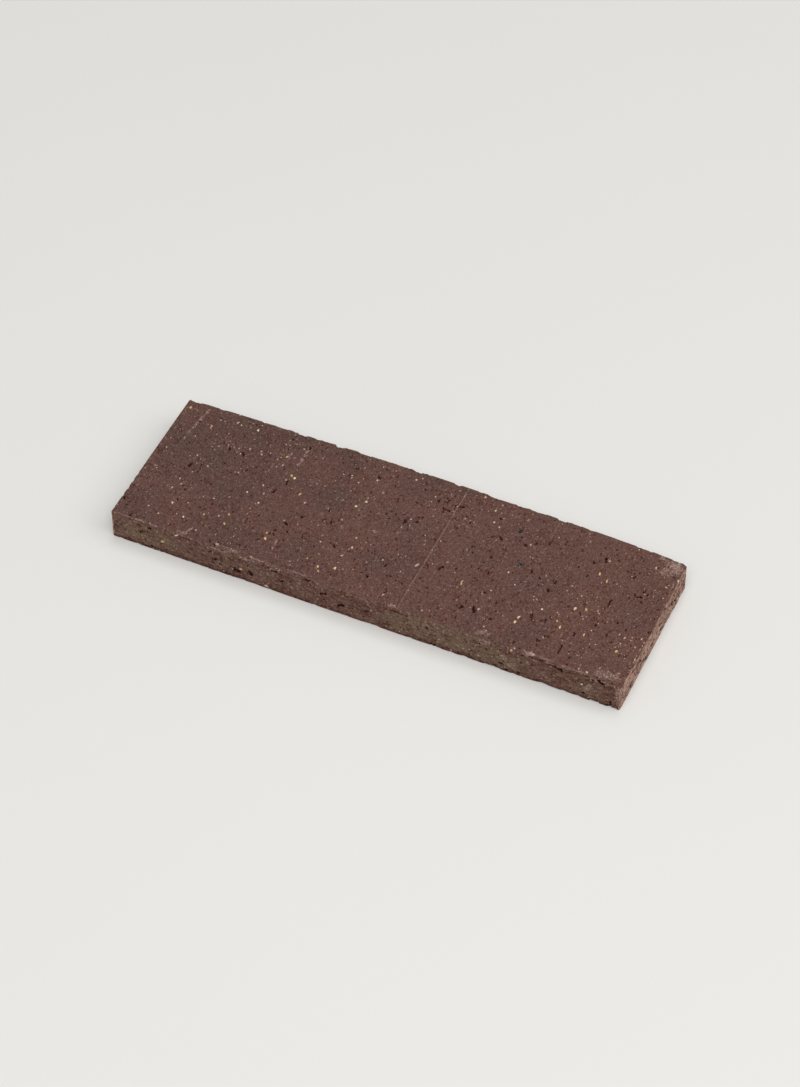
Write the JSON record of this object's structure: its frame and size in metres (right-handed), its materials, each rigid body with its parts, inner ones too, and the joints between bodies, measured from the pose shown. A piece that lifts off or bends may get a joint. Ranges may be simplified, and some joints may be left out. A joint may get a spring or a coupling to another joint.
{
  "type": "brick slip",
  "caption": "Thin rectangular facing slip of fired clay with a flat back, for cladding a wall to look like brickwork.",
  "frame": {"origin": "middle of the slip's bounding box, at the level of its back", "axes": "+X along the length, +Y across the face from the straight long side to the bowed one, +Z out of the weathering face"},
  "size_m": [0.215, 0.0702, 0.0138],
  "materials": {
    "fired_clay": "matt"
  },
  "bodies": {
    "root": {"brick_slip": "fired_clay"}
  },
  "joints": []
}
